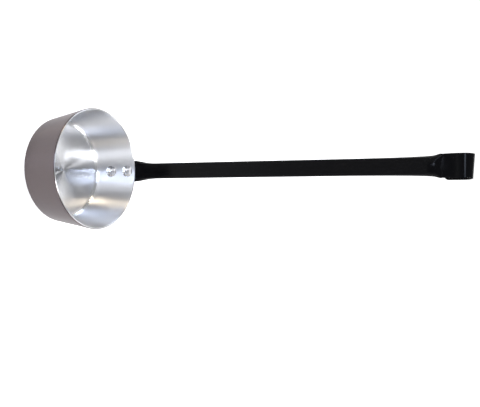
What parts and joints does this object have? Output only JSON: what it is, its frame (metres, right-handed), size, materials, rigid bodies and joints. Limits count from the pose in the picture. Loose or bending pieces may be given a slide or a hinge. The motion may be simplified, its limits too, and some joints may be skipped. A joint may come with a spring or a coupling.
{
  "type": "pouring ladle",
  "caption": "Flat-bottomed round dipping and pouring cup with a long upright strip handle, riveted to its wall and bent into a hook at the far end.",
  "frame": {"origin": "centre of the cup's flat underside", "axes": "+Z out of the cup's mouth, +X from the cup's axis towards the handle, Y across the handle"},
  "size_m": [0.1959, 0.1198, 0.3841],
  "materials": {
    "cup_aluminium": "spun, fine turning marks round the axis, satin outside",
    "handle_enamel": "black gloss enamel on pressed steel",
    "rivet_aluminium": "smooth, lightly polished"
  },
  "bodies": {
    "root": {"cup": "cup_aluminium", "handle": "handle_enamel", "upper_rivet": "rivet_aluminium", "lower_rivet": "rivet_aluminium"}
  },
  "joints": []
}
